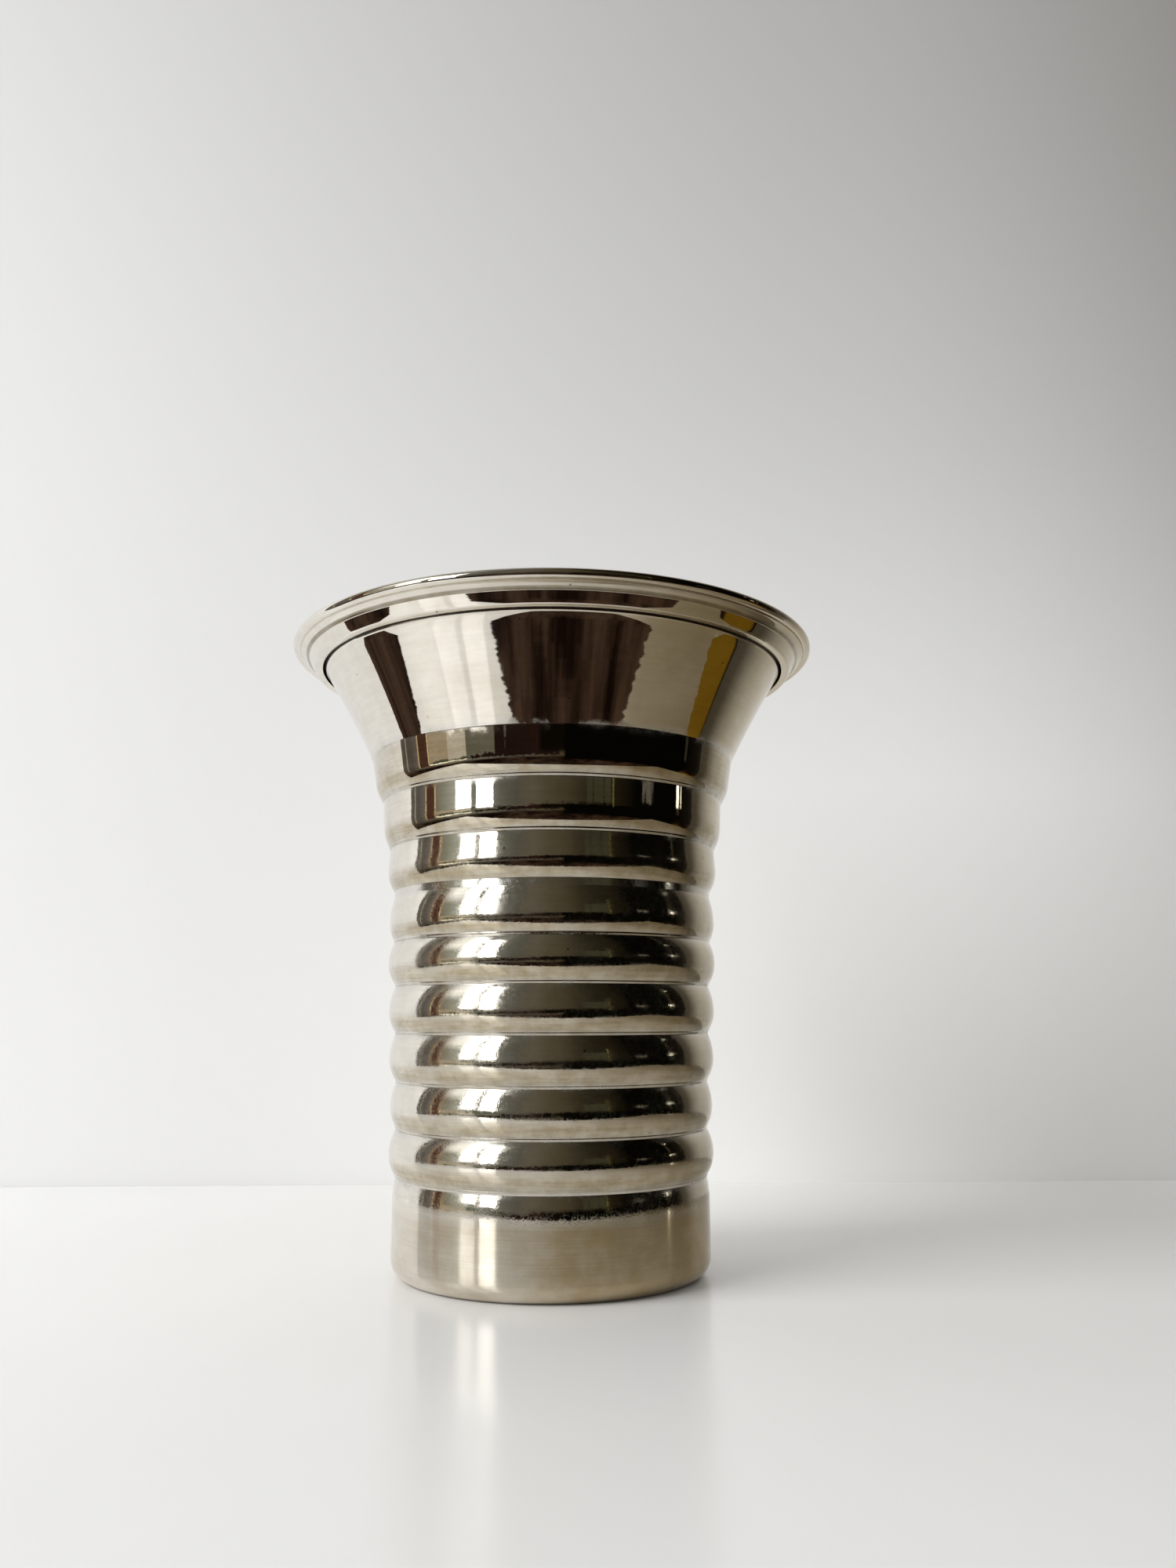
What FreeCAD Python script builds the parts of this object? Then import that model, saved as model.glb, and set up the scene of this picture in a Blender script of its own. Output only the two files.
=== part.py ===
# Trumpet vase in nickel-plated brass: a ribbed spun body, a hollow rim moulding and a floor soldered in.
#
# Millimetres, +Z up, origin at the centre of the ring that it stands on. Every sub-part is turned about the
# Z axis, so each one is a section in the XZ plane (x is the radius, y the height) and a revolution. Sheet
# metal is drawn as the line of its outer face, which is then given the thickness of the sheet.
import FreeCAD, Part
import math
import os

import Sketcher

# The driving sizes, in millimetres. Each one is written once here and read everywhere else by its name.
SIZES = {
    # Body: spun sheet
    "body_wall": 1.0,
    "foot_radius": 56.0,
    "foot_height": 33.25,
    "foot_corner": 6.0,
    "foot_shoulder_height": 8.0,
    "foot_shoulder_depth": 1.0,
    "base_flange_width": 9.0,
    # Body: nine rolled ribs between ten grooves
    "ribbed_height": 148.5,
    "groove_growth": 12.3,
    "crest_rise": 2.6,
    "wide_groove_height": 2.5,
    # Body: the plain flare and the flange turned out at its mouth
    "flare_height": 42.5,
    "flare_bulge_radius": 420.0,
    "mouth_radius": 91.1,
    "mouth_bend": 1.6,
    "mouth_flange_width": 2.9,
    # Rim moulding: thinner spun sheet, closed over a wire
    "rim_wall": 0.8,
    "rim_overhang": 6.4,
    "wire_radius": 0.85,
    "wire_clearance": 0.05,
    "cove_radius": 2.0,
    "skirt_height": 4.1,
    "skirt_inset": 2.7,
    "skirt_standoff": 2.06,
    "skirt_crease": 0.2,
    "skirt_edge": 0.45,
    "skirt_return": 0.5,
    "rim_seat_step": 1.0,
    # Solder and floor
    "rim_seam_leg": 0.7,
    "floor_thickness": 1.2,
    "floor_clearance": 0.2,
    "floor_seam_reach": 3.6,
    "floor_seam_lap": 1.0,
}

# Rolled by hand, so the ribs differ a little. The tables run from foot to mouth: the grooves share
# ribbed_height and groove_growth, and each crest has a share of its own rib's height and of crest_rise.
groove_height_shares = (0, 0.109, 0.218, 0.331, 0.442, 0.547, 0.661, 0.775, 0.893, 1)
groove_growth_shares = (0, 0.016, 0.049, 0.098, 0.130, 0.195, 0.236, 0.398, 0.642, 1)
crest_height_shares = (0.48, 0.475, 0.455, 0.45, 0.515, 0.43, 0.52, 0.45, 0.38)
crest_rise_shares = (1.04, 0.885, 1.04, 1.0, 1.1, 0.77, 0.96, 1.0, 1.115)
# Ribs with a round back, counted from the foot. The groove above them is the wide one, with a flat bottom.
ROUND_RIBS = 6

FULL_TURN = 360
QUARTER_TURN = 90
# How a sketch counts the points of a line or arc, and its own origin
START, END, CENTRE = range(1, 4)
ORIGIN = (-1, START)

doc = FreeCAD.newDocument("trumpet_vase")
sheet = doc.addObject("Spreadsheet::Sheet", "Size")
for row, (name, value) in enumerate(SIZES.items(), start=1):
    sheet.set(f"A{row}", name)
    sheet.set(f"B{row}", str(value))
    sheet.setAlias(f"B{row}", name)
doc.recompute()

# Formulas that more than one piece uses
GROOVE_RADIUS = "(Size.foot_radius - Size.foot_shoulder_depth)"
RIM_TOP = "(Size.foot_height + Size.ribbed_height + Size.flare_height)"
RIM_RADIUS = "(Size.mouth_radius + Size.rim_overhang)"
ROLL = "(Size.wire_radius + Size.wire_clearance + Size.rim_wall)"
SEAT_INNER = "(Size.mouth_radius + Size.rim_seat_step)"

# The lean of the flare: of the straight line that starts at its foot and touches the bend at the mouth
FLARE_FOOT = f"({GROOVE_RADIUS} + Size.groove_growth)"
BEND_REACH = f"(Size.mouth_radius - {FLARE_FOOT})"
BEND_RISE = "(Size.flare_height - Size.rim_wall - Size.body_wall - Size.mouth_bend)"
BEND_DISTANCE = f"sqrt(pow({BEND_REACH}; 2) + pow({BEND_RISE}; 2))"
FLARE_LEAN = f"(atan({BEND_REACH} / {BEND_RISE}) - asin(Size.mouth_bend / {BEND_DISTANCE}))"


def value_of(formula):
    """The number that a formula of sheet sizes gives now."""
    return float(sheet.evalExpression(formula))


class Section:
    """A sketch of one line or outline in the XZ plane, drawn piece by piece and pinned by formulas."""

    def __init__(self, sketch):
        self.sketch = sketch

    def point(self, x, y):
        return FreeCAD.Vector(value_of(x), value_of(y), 0)

    def line(self, start, end):
        return self.sketch.addGeometry(Part.LineSegment(start, end), False)

    def arc(self, centre, start, end):
        """The arc from start to end, counter-clockwise, about centre."""
        angles = [math.atan2(p.y - centre.y, p.x - centre.x) for p in (start, end)]
        if angles[1] < angles[0]:
            angles[1] += 2 * math.pi
        circle = Part.Circle(centre, FreeCAD.Vector(0, 0, 1), centre.distanceToPoint(start))
        return self.sketch.addGeometry(Part.ArcOfCircle(circle, *angles), False)

    def add(self, kind, *items):
        return self.sketch.addConstraint(Sketcher.Constraint(kind, *items))

    def bind(self, name, formula, kind, *items):
        """A dimension that follows a formula of the sheet."""
        index = self.add(kind, *items, value_of(formula))
        self.sketch.renameConstraint(index, name)
        self.sketch.setExpression(f"Constraints.{name}", formula)

    def pin(self, name, geometry, end, x, y):
        """Holds one end of a line or arc at a radius and a height."""
        self.bind(f"{name}_radius", x, "DistanceX", *ORIGIN, geometry, end)
        if value_of(y) == 0:
            self.add("PointOnObject", geometry, end, -1)
        else:
            self.bind(f"{name}_height", y, "DistanceY", *ORIGIN, geometry, end)

    def join(self, first, first_end, second, second_end):
        self.add("Coincident", first, first_end, second, second_end)

    def smooth(self, first, first_end, second, second_end):
        self.add("Tangent", first, first_end, second, second_end)

    def level(self, first, first_end, second, second_end):
        self.add("Horizontal", first, first_end, second, second_end)

    def plumb(self, first, first_end, second, second_end):
        self.add("Vertical", first, first_end, second, second_end)


def tangent_centre(through, touch, direction):
    """The centre of the circle through one point that touches a direction at another."""
    normal = FreeCAD.Vector(direction.y, -direction.x, 0).normalize()
    chord = through - touch
    return touch + normal * (chord.dot(chord) / (2 * chord.dot(normal)))


def meeting_centre(first, first_radius, second, second_radius):
    """Where circles about two centres cross, on the side of the larger x."""
    gap = second - first
    along = (first_radius**2 - second_radius**2 + gap.Length**2) / (2 * gap.Length)
    aside = math.sqrt(first_radius**2 - along**2)
    direction = FreeCAD.Vector(gap).normalize()
    crossings = [
        first + direction * along + FreeCAD.Vector(direction.y, -direction.x, 0) * side
        for side in (aside, -aside)
    ]
    return max(crossings, key=lambda crossing: crossing.x)


def outer_tangent(first, first_radius, second, second_radius):
    """The normal, on the side of the larger x, of the line that touches circles about two centres."""
    gap = second - first
    spread = math.acos((first_radius - second_radius) / gap.Length)
    heading = math.atan2(gap.y, gap.x)
    angles = (heading + spread, heading - spread)
    normals = [FreeCAD.Vector(math.cos(angle), math.sin(angle), 0) for angle in angles]
    return max(normals, key=lambda normal: normal.x)


def upright_sketch(name):
    """A sketch outside any body, standing in the XZ plane."""
    sketch = doc.addObject("Sketcher::SketchObject", name)
    upright = FreeCAD.Rotation(FreeCAD.Vector(1, 0, 0), QUARTER_TURN)
    sketch.Placement = FreeCAD.Placement(FreeCAD.Vector(0, 0, 0), upright)
    return sketch


def spun_sheet(name, line, wall, height):
    """Sheet metal spun to a line, with its wall on the left of the line, or on the right if negative."""
    doc.recompute()
    section = doc.addObject("Part::Offset2D", f"{name}_section")
    section.Source = line
    section.Mode = "Skin"
    section.Join = "Arc"
    section.Fill = True
    section.setExpression("Value", wall)
    turned = doc.addObject("Part::Revolution", name)
    turned.Source = section
    turned.Axis = FreeCAD.Vector(0, 0, 1)
    turned.Angle = FULL_TURN
    turned.Solid = True
    turned.setExpression("Placement.Base.z", height)
    turned.Label = name
    return turned


def body_in(name, height):
    """An empty body, raised to its height."""
    body = doc.addObject("PartDesign::Body", name)
    body.setExpression("Placement.Base.z", height)
    body.Label = name
    return body


def sketch_in(body, name, plane):
    sketch = body.newObject("Sketcher::SketchObject", name)
    origin_plane = next(item for item in body.Origin.OriginFeatures if item.Role == plane)
    sketch.AttachmentSupport = [(origin_plane, "")]
    sketch.MapMode = "FlatFace"
    return sketch


def turn_in(body, sketch):
    turned = body.newObject("PartDesign::Revolution", f"{body.Name}_turned")
    turned.Profile = sketch
    turned.ReferenceAxis = (sketch, ["V_Axis"])
    turned.Angle = FULL_TURN


def make_body_shell():
    """The body's outer face, from the inner edge of the base flange up to the edge of the mouth flange."""
    section = Section(upright_sketch("body_shell_line"))

    corner = ("Size.foot_radius - Size.foot_corner", "Size.foot_corner")
    flange_edge = (f"{corner[0]} - Size.base_flange_width", "0")
    flange_end = (corner[0], "0")
    band_start = ("Size.foot_radius", corner[1])
    band_end = ("Size.foot_radius", "Size.foot_height - Size.foot_shoulder_height")
    groove_radii = [f"{GROOVE_RADIUS} + Size.groove_growth * {share}" for share in groove_growth_shares]
    groove_heights = [f"Size.foot_height + Size.ribbed_height * {share}" for share in groove_height_shares]
    grooves = list(zip(groove_radii, groove_heights))

    flange = section.line(section.point(*flange_edge), section.point(*flange_end))
    section.pin("flange_edge", flange, START, *flange_edge)
    section.pin("flange_end", flange, END, *flange_end)
    foot = section.arc(section.point(*corner), section.point(*flange_end), section.point(*band_start))
    section.join(flange, END, foot, START)
    section.plumb(foot, START, foot, CENTRE)
    band = section.line(section.point(*band_start), section.point(*band_end))
    section.join(foot, END, band, START)
    section.pin("band_start", band, START, *band_start)
    section.pin("band_end", band, END, *band_end)

    up = FreeCAD.Vector(0, 1, 0)
    groove, shoulder_top = section.point(*grooves[0]), section.point(*band_end)
    last = section.arc(tangent_centre(groove, shoulder_top, up), shoulder_top, groove)
    section.join(band, END, last, START)
    section.level(last, START, last, CENTRE)
    section.pin("groove_0", last, END, *grooves[0])

    # Each rib: an arc out to its crest, then an arc (or, on the upper ribs, a straight stretch) in again
    rib_feet, rib_tops = grooves[:-1], grooves[1:]
    wide_radius, wide_height = grooves[ROUND_RIBS]
    rib_tops[ROUND_RIBS - 1] = (wide_radius, f"{wide_height} - Size.wide_groove_height / 2")
    rib_feet[ROUND_RIBS] = (wide_radius, f"{wide_height} + Size.wide_groove_height / 2")
    for rib, (low, high) in enumerate(zip(rib_feet, rib_tops)):
        if rib == ROUND_RIBS:
            flat = section.line(section.point(*rib_tops[rib - 1]), section.point(*low))
            section.join(last, END, flat, START)
            section.pin("wide_groove", flat, END, *low)
            last = flat
        crest_height = crest_height_shares[rib]
        crest = (
            f"{low[0]} + Size.crest_rise * {crest_rise_shares[rib]}",
            f"({low[1]}) * {1 - crest_height} + ({high[1]}) * {crest_height}",
        )
        low_at, crest_at, high_at = section.point(*low), section.point(*crest), section.point(*high)
        is_round = rib < ROUND_RIBS
        lean = up if is_round else high_at - crest_at
        out = section.arc(tangent_centre(low_at, crest_at, lean), low_at, crest_at)
        section.join(last, END, out, START)
        section.pin(f"crest_{rib + 1}", out, END, *crest)
        if is_round:
            section.level(out, END, out, CENTRE)
            last = section.arc(tangent_centre(high_at, crest_at, up), crest_at, high_at)
            section.join(out, END, last, START)
            section.level(last, START, last, CENTRE)
        else:
            last = section.line(crest_at, high_at)
            section.smooth(out, END, last, START)
        section.pin(f"groove_{rib + 1}", last, END, *high)

    # The flare curves outward to the mouth bend, which turns it level
    bend_end = ("Size.mouth_radius", f"{RIM_TOP} - Size.rim_wall - Size.body_wall")
    mouth_edge = (f"{bend_end[0]} + Size.mouth_flange_width", bend_end[1])
    bend_end_at = section.point(*bend_end)
    bend_radius, flare_radius = value_of("Size.mouth_bend"), value_of("Size.flare_bulge_radius")
    bend_centre = bend_end_at - up * bend_radius
    flare_foot = section.point(*grooves[-1])
    flare_centre = meeting_centre(bend_centre, flare_radius - bend_radius, flare_foot, flare_radius)
    flare_top = bend_centre + (bend_centre - flare_centre).normalize() * bend_radius
    flare = section.arc(flare_centre, flare_top, flare_foot)
    section.join(last, END, flare, END)
    section.bind("flare_bulge", "Size.flare_bulge_radius", "Radius", flare)
    bend = section.arc(bend_centre, bend_end_at, flare_top)
    section.bind("mouth_bend", "Size.mouth_bend", "Radius", bend)
    section.smooth(flare, START, bend, END)
    section.plumb(bend, START, bend, CENTRE)
    section.pin("bend_end", bend, START, *bend_end)
    lip = section.line(bend_end_at, section.point(*mouth_edge))
    section.join(bend, START, lip, START)
    section.pin("mouth_edge", lip, END, *mouth_edge)
    return spun_sheet("body_shell", section.sketch, "Size.body_wall", "0")


def make_rim_mount():
    """The rim moulding's outer face, from its flat top (height 0) down to its turned-under lower edge."""
    section = Section(upright_sketch("rim_mount_line"))

    seat_edge = (SEAT_INNER, "0")
    roll_top = (f"{RIM_RADIUS} - {ROLL}", "0")
    roll_foot = (roll_top[0], f"-2 * {ROLL}")
    crease_radius = "(Size.skirt_crease + Size.rim_wall)"
    edge_radius = "(Size.skirt_edge + Size.rim_wall)"
    # The lower edge stands off the flare, wherever the flare is at that height, and the cove follows it
    edge_drop = f"(2 * {ROLL} + Size.cove_radius + Size.skirt_height - {edge_radius})"
    flare_there = f"{FLARE_FOOT} + tan({FLARE_LEAN}) * (Size.flare_height - {edge_drop})"
    edge_place = (f"{flare_there} + Size.skirt_standoff", f"-{edge_drop}")
    cove_end = (f"{edge_place[0]} + Size.skirt_inset", f"{roll_foot[1]} - Size.cove_radius")
    cove_start = (f"{cove_end[0]} + Size.cove_radius", roll_foot[1])

    top = section.line(section.point(*seat_edge), section.point(*roll_top))
    section.pin("seat_edge", top, START, *seat_edge)
    section.pin("roll_top", top, END, *roll_top)
    roll_centre = section.point(roll_top[0], f"-{ROLL}")
    rolled = section.arc(roll_centre, section.point(*roll_foot), section.point(*roll_top))
    section.join(top, END, rolled, END)
    section.plumb(rolled, END, rolled, CENTRE)
    under = section.line(section.point(*roll_foot), section.point(*cove_start))
    section.join(rolled, START, under, START)
    section.pin("roll_foot", under, START, *roll_foot)
    section.pin("cove_start", under, END, *cove_start)

    cove_centre = section.point(cove_start[0], cove_end[1])
    cove = section.arc(cove_centre, section.point(*cove_start), section.point(*cove_end))
    section.join(under, END, cove, START)
    section.plumb(cove, START, cove, CENTRE)
    section.pin("cove_end", cove, END, *cove_end)

    # From the cove the skirt creases inward, slopes to its lower edge and is turned under there
    crease, edge = value_of(crease_radius), value_of(edge_radius)
    cove_end_at = section.point(*cove_end)
    crease_centre = cove_end_at - FreeCAD.Vector(crease, 0, 0)
    edge_centre = section.point(*edge_place)
    normal = outer_tangent(crease_centre, crease, edge_centre, edge)
    skirt_top, skirt_foot = crease_centre + normal * crease, edge_centre + normal * edge
    below = edge - value_of("Size.skirt_return")
    return_end = edge_centre - FreeCAD.Vector(math.sqrt(edge**2 - below**2), below, 0)

    bent = section.arc(crease_centre, skirt_top, cove_end_at)
    section.smooth(cove, END, bent, END)
    section.bind("crease_bend", crease_radius, "Radius", bent)
    skirt = section.line(skirt_top, skirt_foot)
    section.smooth(bent, START, skirt, START)
    turned = section.arc(edge_centre, return_end, skirt_foot)
    section.smooth(skirt, END, turned, END)
    section.bind("edge_bend", edge_radius, "Radius", turned)
    section.pin("edge_centre", turned, CENTRE, *edge_place)
    rest_of_turn = f"{edge_radius} - Size.skirt_return"
    section.bind("edge_return", rest_of_turn, "DistanceY", turned, START, turned, CENTRE)
    return spun_sheet("rim_mount", section.sketch, "-Size.rim_wall", RIM_TOP)


def make_rim_wire():
    wire = doc.addObject("Part::Torus", "rim_wire")
    wire.setExpression("Radius1", f"{RIM_RADIUS} - {ROLL}")
    wire.setExpression("Radius2", "Size.wire_radius")
    wire.setExpression("Placement.Base.z", f"{RIM_TOP} - {ROLL}")
    wire.Label = "rim_wire"
    return wire


def make_rim_solder():
    """A fillet of solder in the step between the edge of the rim's top and the flange of the mouth."""
    body = body_in("rim_solder", f"{RIM_TOP} - Size.rim_wall")
    section = Section(sketch_in(body, "rim_solder_section", "XZ_Plane"))
    corners = [
        (f"{SEAT_INNER} - Size.rim_seam_leg", "0"),
        (SEAT_INNER, "0"),
        (SEAT_INNER, "Size.rim_seam_leg"),
    ]
    sides = [
        section.line(section.point(*corners[i]), section.point(*corners[(i + 1) % len(corners)]))
        for i in range(len(corners))
    ]
    for i, side in enumerate(sides):
        section.join(side, END, sides[(i + 1) % len(sides)], START)
        section.pin(f"corner_{i}", side, START, *corners[i])
    turn_in(body, section.sketch)
    return body


def make_floor_disc():
    body = body_in("floor_disc", "Size.body_wall")
    sketch = sketch_in(body, "floor_disc_outline", "XY_Plane")
    section = Section(sketch)
    radius = "Size.foot_radius - Size.foot_corner - Size.floor_clearance"
    circle = Part.Circle(FreeCAD.Vector(0, 0, 0), FreeCAD.Vector(0, 0, 1), value_of(radius))
    outline = sketch.addGeometry(circle, False)
    section.join(outline, CENTRE, *ORIGIN)
    section.bind("floor_radius", radius, "Radius", outline)
    pad = body.newObject("PartDesign::Pad", "floor_disc_pad")
    pad.Profile = sketch
    pad.setExpression("Length", "Size.floor_thickness")
    return body


def make_floor_solder():
    """Solder run into the corner between floor disc and rounded foot, lapping the edge of the disc."""
    body = body_in("floor_solder", "Size.body_wall")
    section = Section(sketch_in(body, "floor_solder_section", "XZ_Plane"))
    inner_radius = "(Size.foot_corner - Size.body_wall)"
    disc_radius = "(Size.foot_radius - Size.foot_corner - Size.floor_clearance)"
    corner_radius = "(Size.foot_radius - Size.foot_corner)"
    centre = (corner_radius, inner_radius)
    reach = f"{corner_radius} + Size.floor_seam_reach"
    climb = f"{inner_radius} - sqrt(pow({inner_radius}; 2) - pow(Size.floor_seam_reach; 2))"
    lap = f"{disc_radius} - Size.floor_seam_lap"
    points = {
        "root": (disc_radius, "0"),
        "bend": (corner_radius, "0"),
        "top": (reach, climb),
        "lap": (lap, "Size.floor_thickness"),
        "edge": (disc_radius, "Size.floor_thickness"),
    }
    at = {name: section.point(*place) for name, place in points.items()}
    base = section.line(at["root"], at["bend"])
    wall = section.arc(section.point(*centre), at["bend"], at["top"])
    face = section.line(at["top"], at["lap"])
    lapped = section.line(at["lap"], at["edge"])
    side = section.line(at["edge"], at["root"])
    section.pin("root", base, START, *points["root"])
    section.pin("bend", base, END, *points["bend"])
    section.join(base, END, wall, START)
    section.plumb(wall, START, wall, CENTRE)
    section.join(wall, END, face, START)
    section.pin("top", face, START, *points["top"])
    section.join(face, END, lapped, START)
    section.pin("lap", lapped, START, *points["lap"])
    section.join(lapped, END, side, START)
    section.pin("edge", side, START, *points["edge"])
    section.join(side, END, base, START)
    turn_in(body, section.sketch)
    return body


def check(parts):
    """Stops before anything is written if an object failed or a sub-part is no valid solid."""
    for item in doc.Objects:
        if "Invalid" in item.State or "Error" in item.State:
            raise RuntimeError(f"{item.Name} did not compute: {item.State}")
        if item.isDerivedFrom("Sketcher::SketchObject") and not item.FullyConstrained:
            raise RuntimeError(f"{item.Name} has a line that is not held")
    for part in parts:
        shape = part.Shape
        if shape.isNull() or not shape.isValid() or len(shape.Solids) != 1:
            raise RuntimeError(f"{part.Label} is not one valid solid")


parts = [
    make_body_shell(),
    make_rim_mount(),
    make_rim_wire(),
    make_rim_solder(),
    make_floor_disc(),
    make_floor_solder(),
]
doc.recompute()
check(parts)

os.makedirs("parts", exist_ok=True)
for part in parts:
    part.Shape.exportStep(os.path.join("parts", f"{part.Label}.step"))
    print(part.Label, "volume", round(part.Shape.Volume, 1), "mm3")
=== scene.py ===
import math

import bpy
from mathutils import Matrix, Vector


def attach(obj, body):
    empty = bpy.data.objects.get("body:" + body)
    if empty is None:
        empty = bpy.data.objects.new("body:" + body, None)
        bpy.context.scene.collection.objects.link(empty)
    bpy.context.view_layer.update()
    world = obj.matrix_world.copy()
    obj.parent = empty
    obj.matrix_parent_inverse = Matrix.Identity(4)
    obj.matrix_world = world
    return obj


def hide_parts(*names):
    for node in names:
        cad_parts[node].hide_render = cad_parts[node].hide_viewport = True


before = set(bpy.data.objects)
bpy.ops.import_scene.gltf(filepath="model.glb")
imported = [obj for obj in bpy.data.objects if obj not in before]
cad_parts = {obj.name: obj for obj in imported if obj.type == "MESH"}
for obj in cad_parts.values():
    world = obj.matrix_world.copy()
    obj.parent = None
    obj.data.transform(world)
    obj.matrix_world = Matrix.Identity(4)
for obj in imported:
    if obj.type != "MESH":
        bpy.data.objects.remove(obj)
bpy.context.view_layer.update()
print("frame loaded with", len(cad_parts), "nodes")

mm = 0.001
scene = bpy.context.scene
scene.view_settings.view_transform = "Standard"


def addNode(tree, kind, inputs=None, **settings):  # new node with its settings, values and links
    made = tree.nodes.new(kind)
    for key, value in settings.items():
        setattr(made, key, value)
    for key, value in (inputs or {}).items():  # a socket's name, or its place where names repeat
        if isinstance(value, bpy.types.NodeSocket):
            tree.links.new(value, made.inputs[key])
        else:
            made.inputs[key].default_value = value
    return made


def mathNode(tree, operation, *values, clamp=False):
    made = addNode(tree, "ShaderNodeMath", dict(enumerate(values)), operation=operation, use_clamp=clamp)
    return made.outputs[0]


def product(tree, first, second):
    return mathNode(tree, "MULTIPLY", first, second)


def vectorNode(tree, operation, *values):
    made = addNode(tree, "ShaderNodeVectorMath", dict(enumerate(values)), operation=operation)
    return made.outputs[0]


def combined(tree, x, y, z):
    return addNode(tree, "ShaderNodeCombineXYZ", {0: x, 1: y, 2: z}).outputs[0]


def separated(tree, vector):
    return addNode(tree, "ShaderNodeSeparateXYZ", {0: vector}).outputs


def rangeNode(tree, value, low, high, smooth=True):  # 0 at low, 1 at high
    made = addNode(tree, "ShaderNodeMapRange", {0: value, 1: low, 2: high})
    made.interpolation_type = "SMOOTHSTEP" if smooth else "LINEAR"
    return made.outputs[0]


def noiseNode(tree, vector, scale, detail=2.0, roughness=0.5):
    made = addNode(tree, "ShaderNodeTexNoise", {"Vector": vector, "Scale": scale, "Detail": detail})
    made.inputs["Roughness"].default_value = roughness
    return made.outputs["Fac"]


def mixColour(tree, factor, first, second, blend="MIX"):
    inputs = {0: factor, 6: first, 7: second}
    return addNode(tree, "ShaderNodeMix", inputs, data_type="RGBA", blend_type=blend).outputs[2]


def mixValue(tree, factor, first, second):
    return addNode(tree, "ShaderNodeMix", {0: factor, 2: first, 3: second}, data_type="FLOAT").outputs[0]


# Outlines: points are Vector((radius, height)), in metres

outlining = {
    "smoothTurn": math.radians(16),  # runs that meet within this turn are joined as they are
    "guardShare": 0.2,  # of the softness: a short straight stretch beside each rounded corner
    "outerSteps": 7,
    "outerCornerSteps": 3,
    "innerSteps": 3,
    "innerCornerSteps": 2,
}


def arcBetween(centre, start, end, steps):  # the shorter way round
    first, last = ((p - centre) for p in (start, end))
    turn = math.atan2(first.cross(last), first.dot(last))
    radius = first.length
    angle = math.atan2(first.y, first.x)
    return [
        centre + radius * Vector((math.cos(angle + turn * i / steps), math.sin(angle + turn * i / steps)))
        for i in range(steps + 1)
    ]


def lineBetween(start, end, steps):
    return [start.lerp(end, i / steps) for i in range(steps + 1)]


def tangentCentre(through, touch, direction):  # of the circle that touches a line at its second point
    normal = Vector((direction.y, -direction.x)).normalized()
    chord = through - touch
    return touch + normal * (chord.length_squared / (2 * chord.dot(normal)))


def shortened(points, length):  # the run without its last stretch of this length
    kept = list(points)
    while len(kept) > 1 and (kept[-1] - kept[-2]).length <= length:
        length -= (kept[-1] - kept[-2]).length
        kept.pop()
    if len(kept) > 1:
        kept[-1] = kept[-1] + (kept[-2] - kept[-1]).normalized() * length
    return kept


def joinRuns(runs, softness, steps):  # one outline of all the runs, with each sharp corner rounded off
    outline = list(runs[0])
    for run in runs[1:]:
        before = (outline[-1] - outline[-2]).normalized()
        after = (run[1] - run[0]).normalized()
        if before.angle(after) < outlining["smoothTurn"]:
            outline += run[1:]
            continue
        corner = run[0]
        outline = shortened(outline, softness)
        run = shortened(run[::-1], softness)[::-1]
        start, end = outline[-1], run[0]
        guard = softness * outlining["guardShare"]
        outline[-1:] = [start + (outline[-2] - start).normalized() * guard, start]
        for i in range(1, steps):
            share = i / steps
            outline.append(start.lerp(corner, share).lerp(corner.lerp(end, share), share))
        outline += [end, end + (run[1] - end).normalized() * guard] + run[1:]
    return outline


def offsetOutline(outline, distance):  # to the left of the way it runs
    moved = []
    for i, point in enumerate(outline):
        before = outline[max(i - 1, 0)]
        after = outline[min(i + 1, len(outline) - 1)]
        along = (after - before).normalized()
        moved.append(point + Vector((-along.y, along.x)) * distance)
    return moved


def wallFaces(makeRuns, softness, wall):  # a sheet's outer face, and its inner face running back
    outer = joinRuns(makeRuns(outlining["outerSteps"]), softness, outlining["outerCornerSteps"])
    inner = joinRuns(makeRuns(outlining["innerSteps"]), softness, outlining["innerCornerSteps"])
    return outer, offsetOutline(inner, wall)[::-1]


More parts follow.
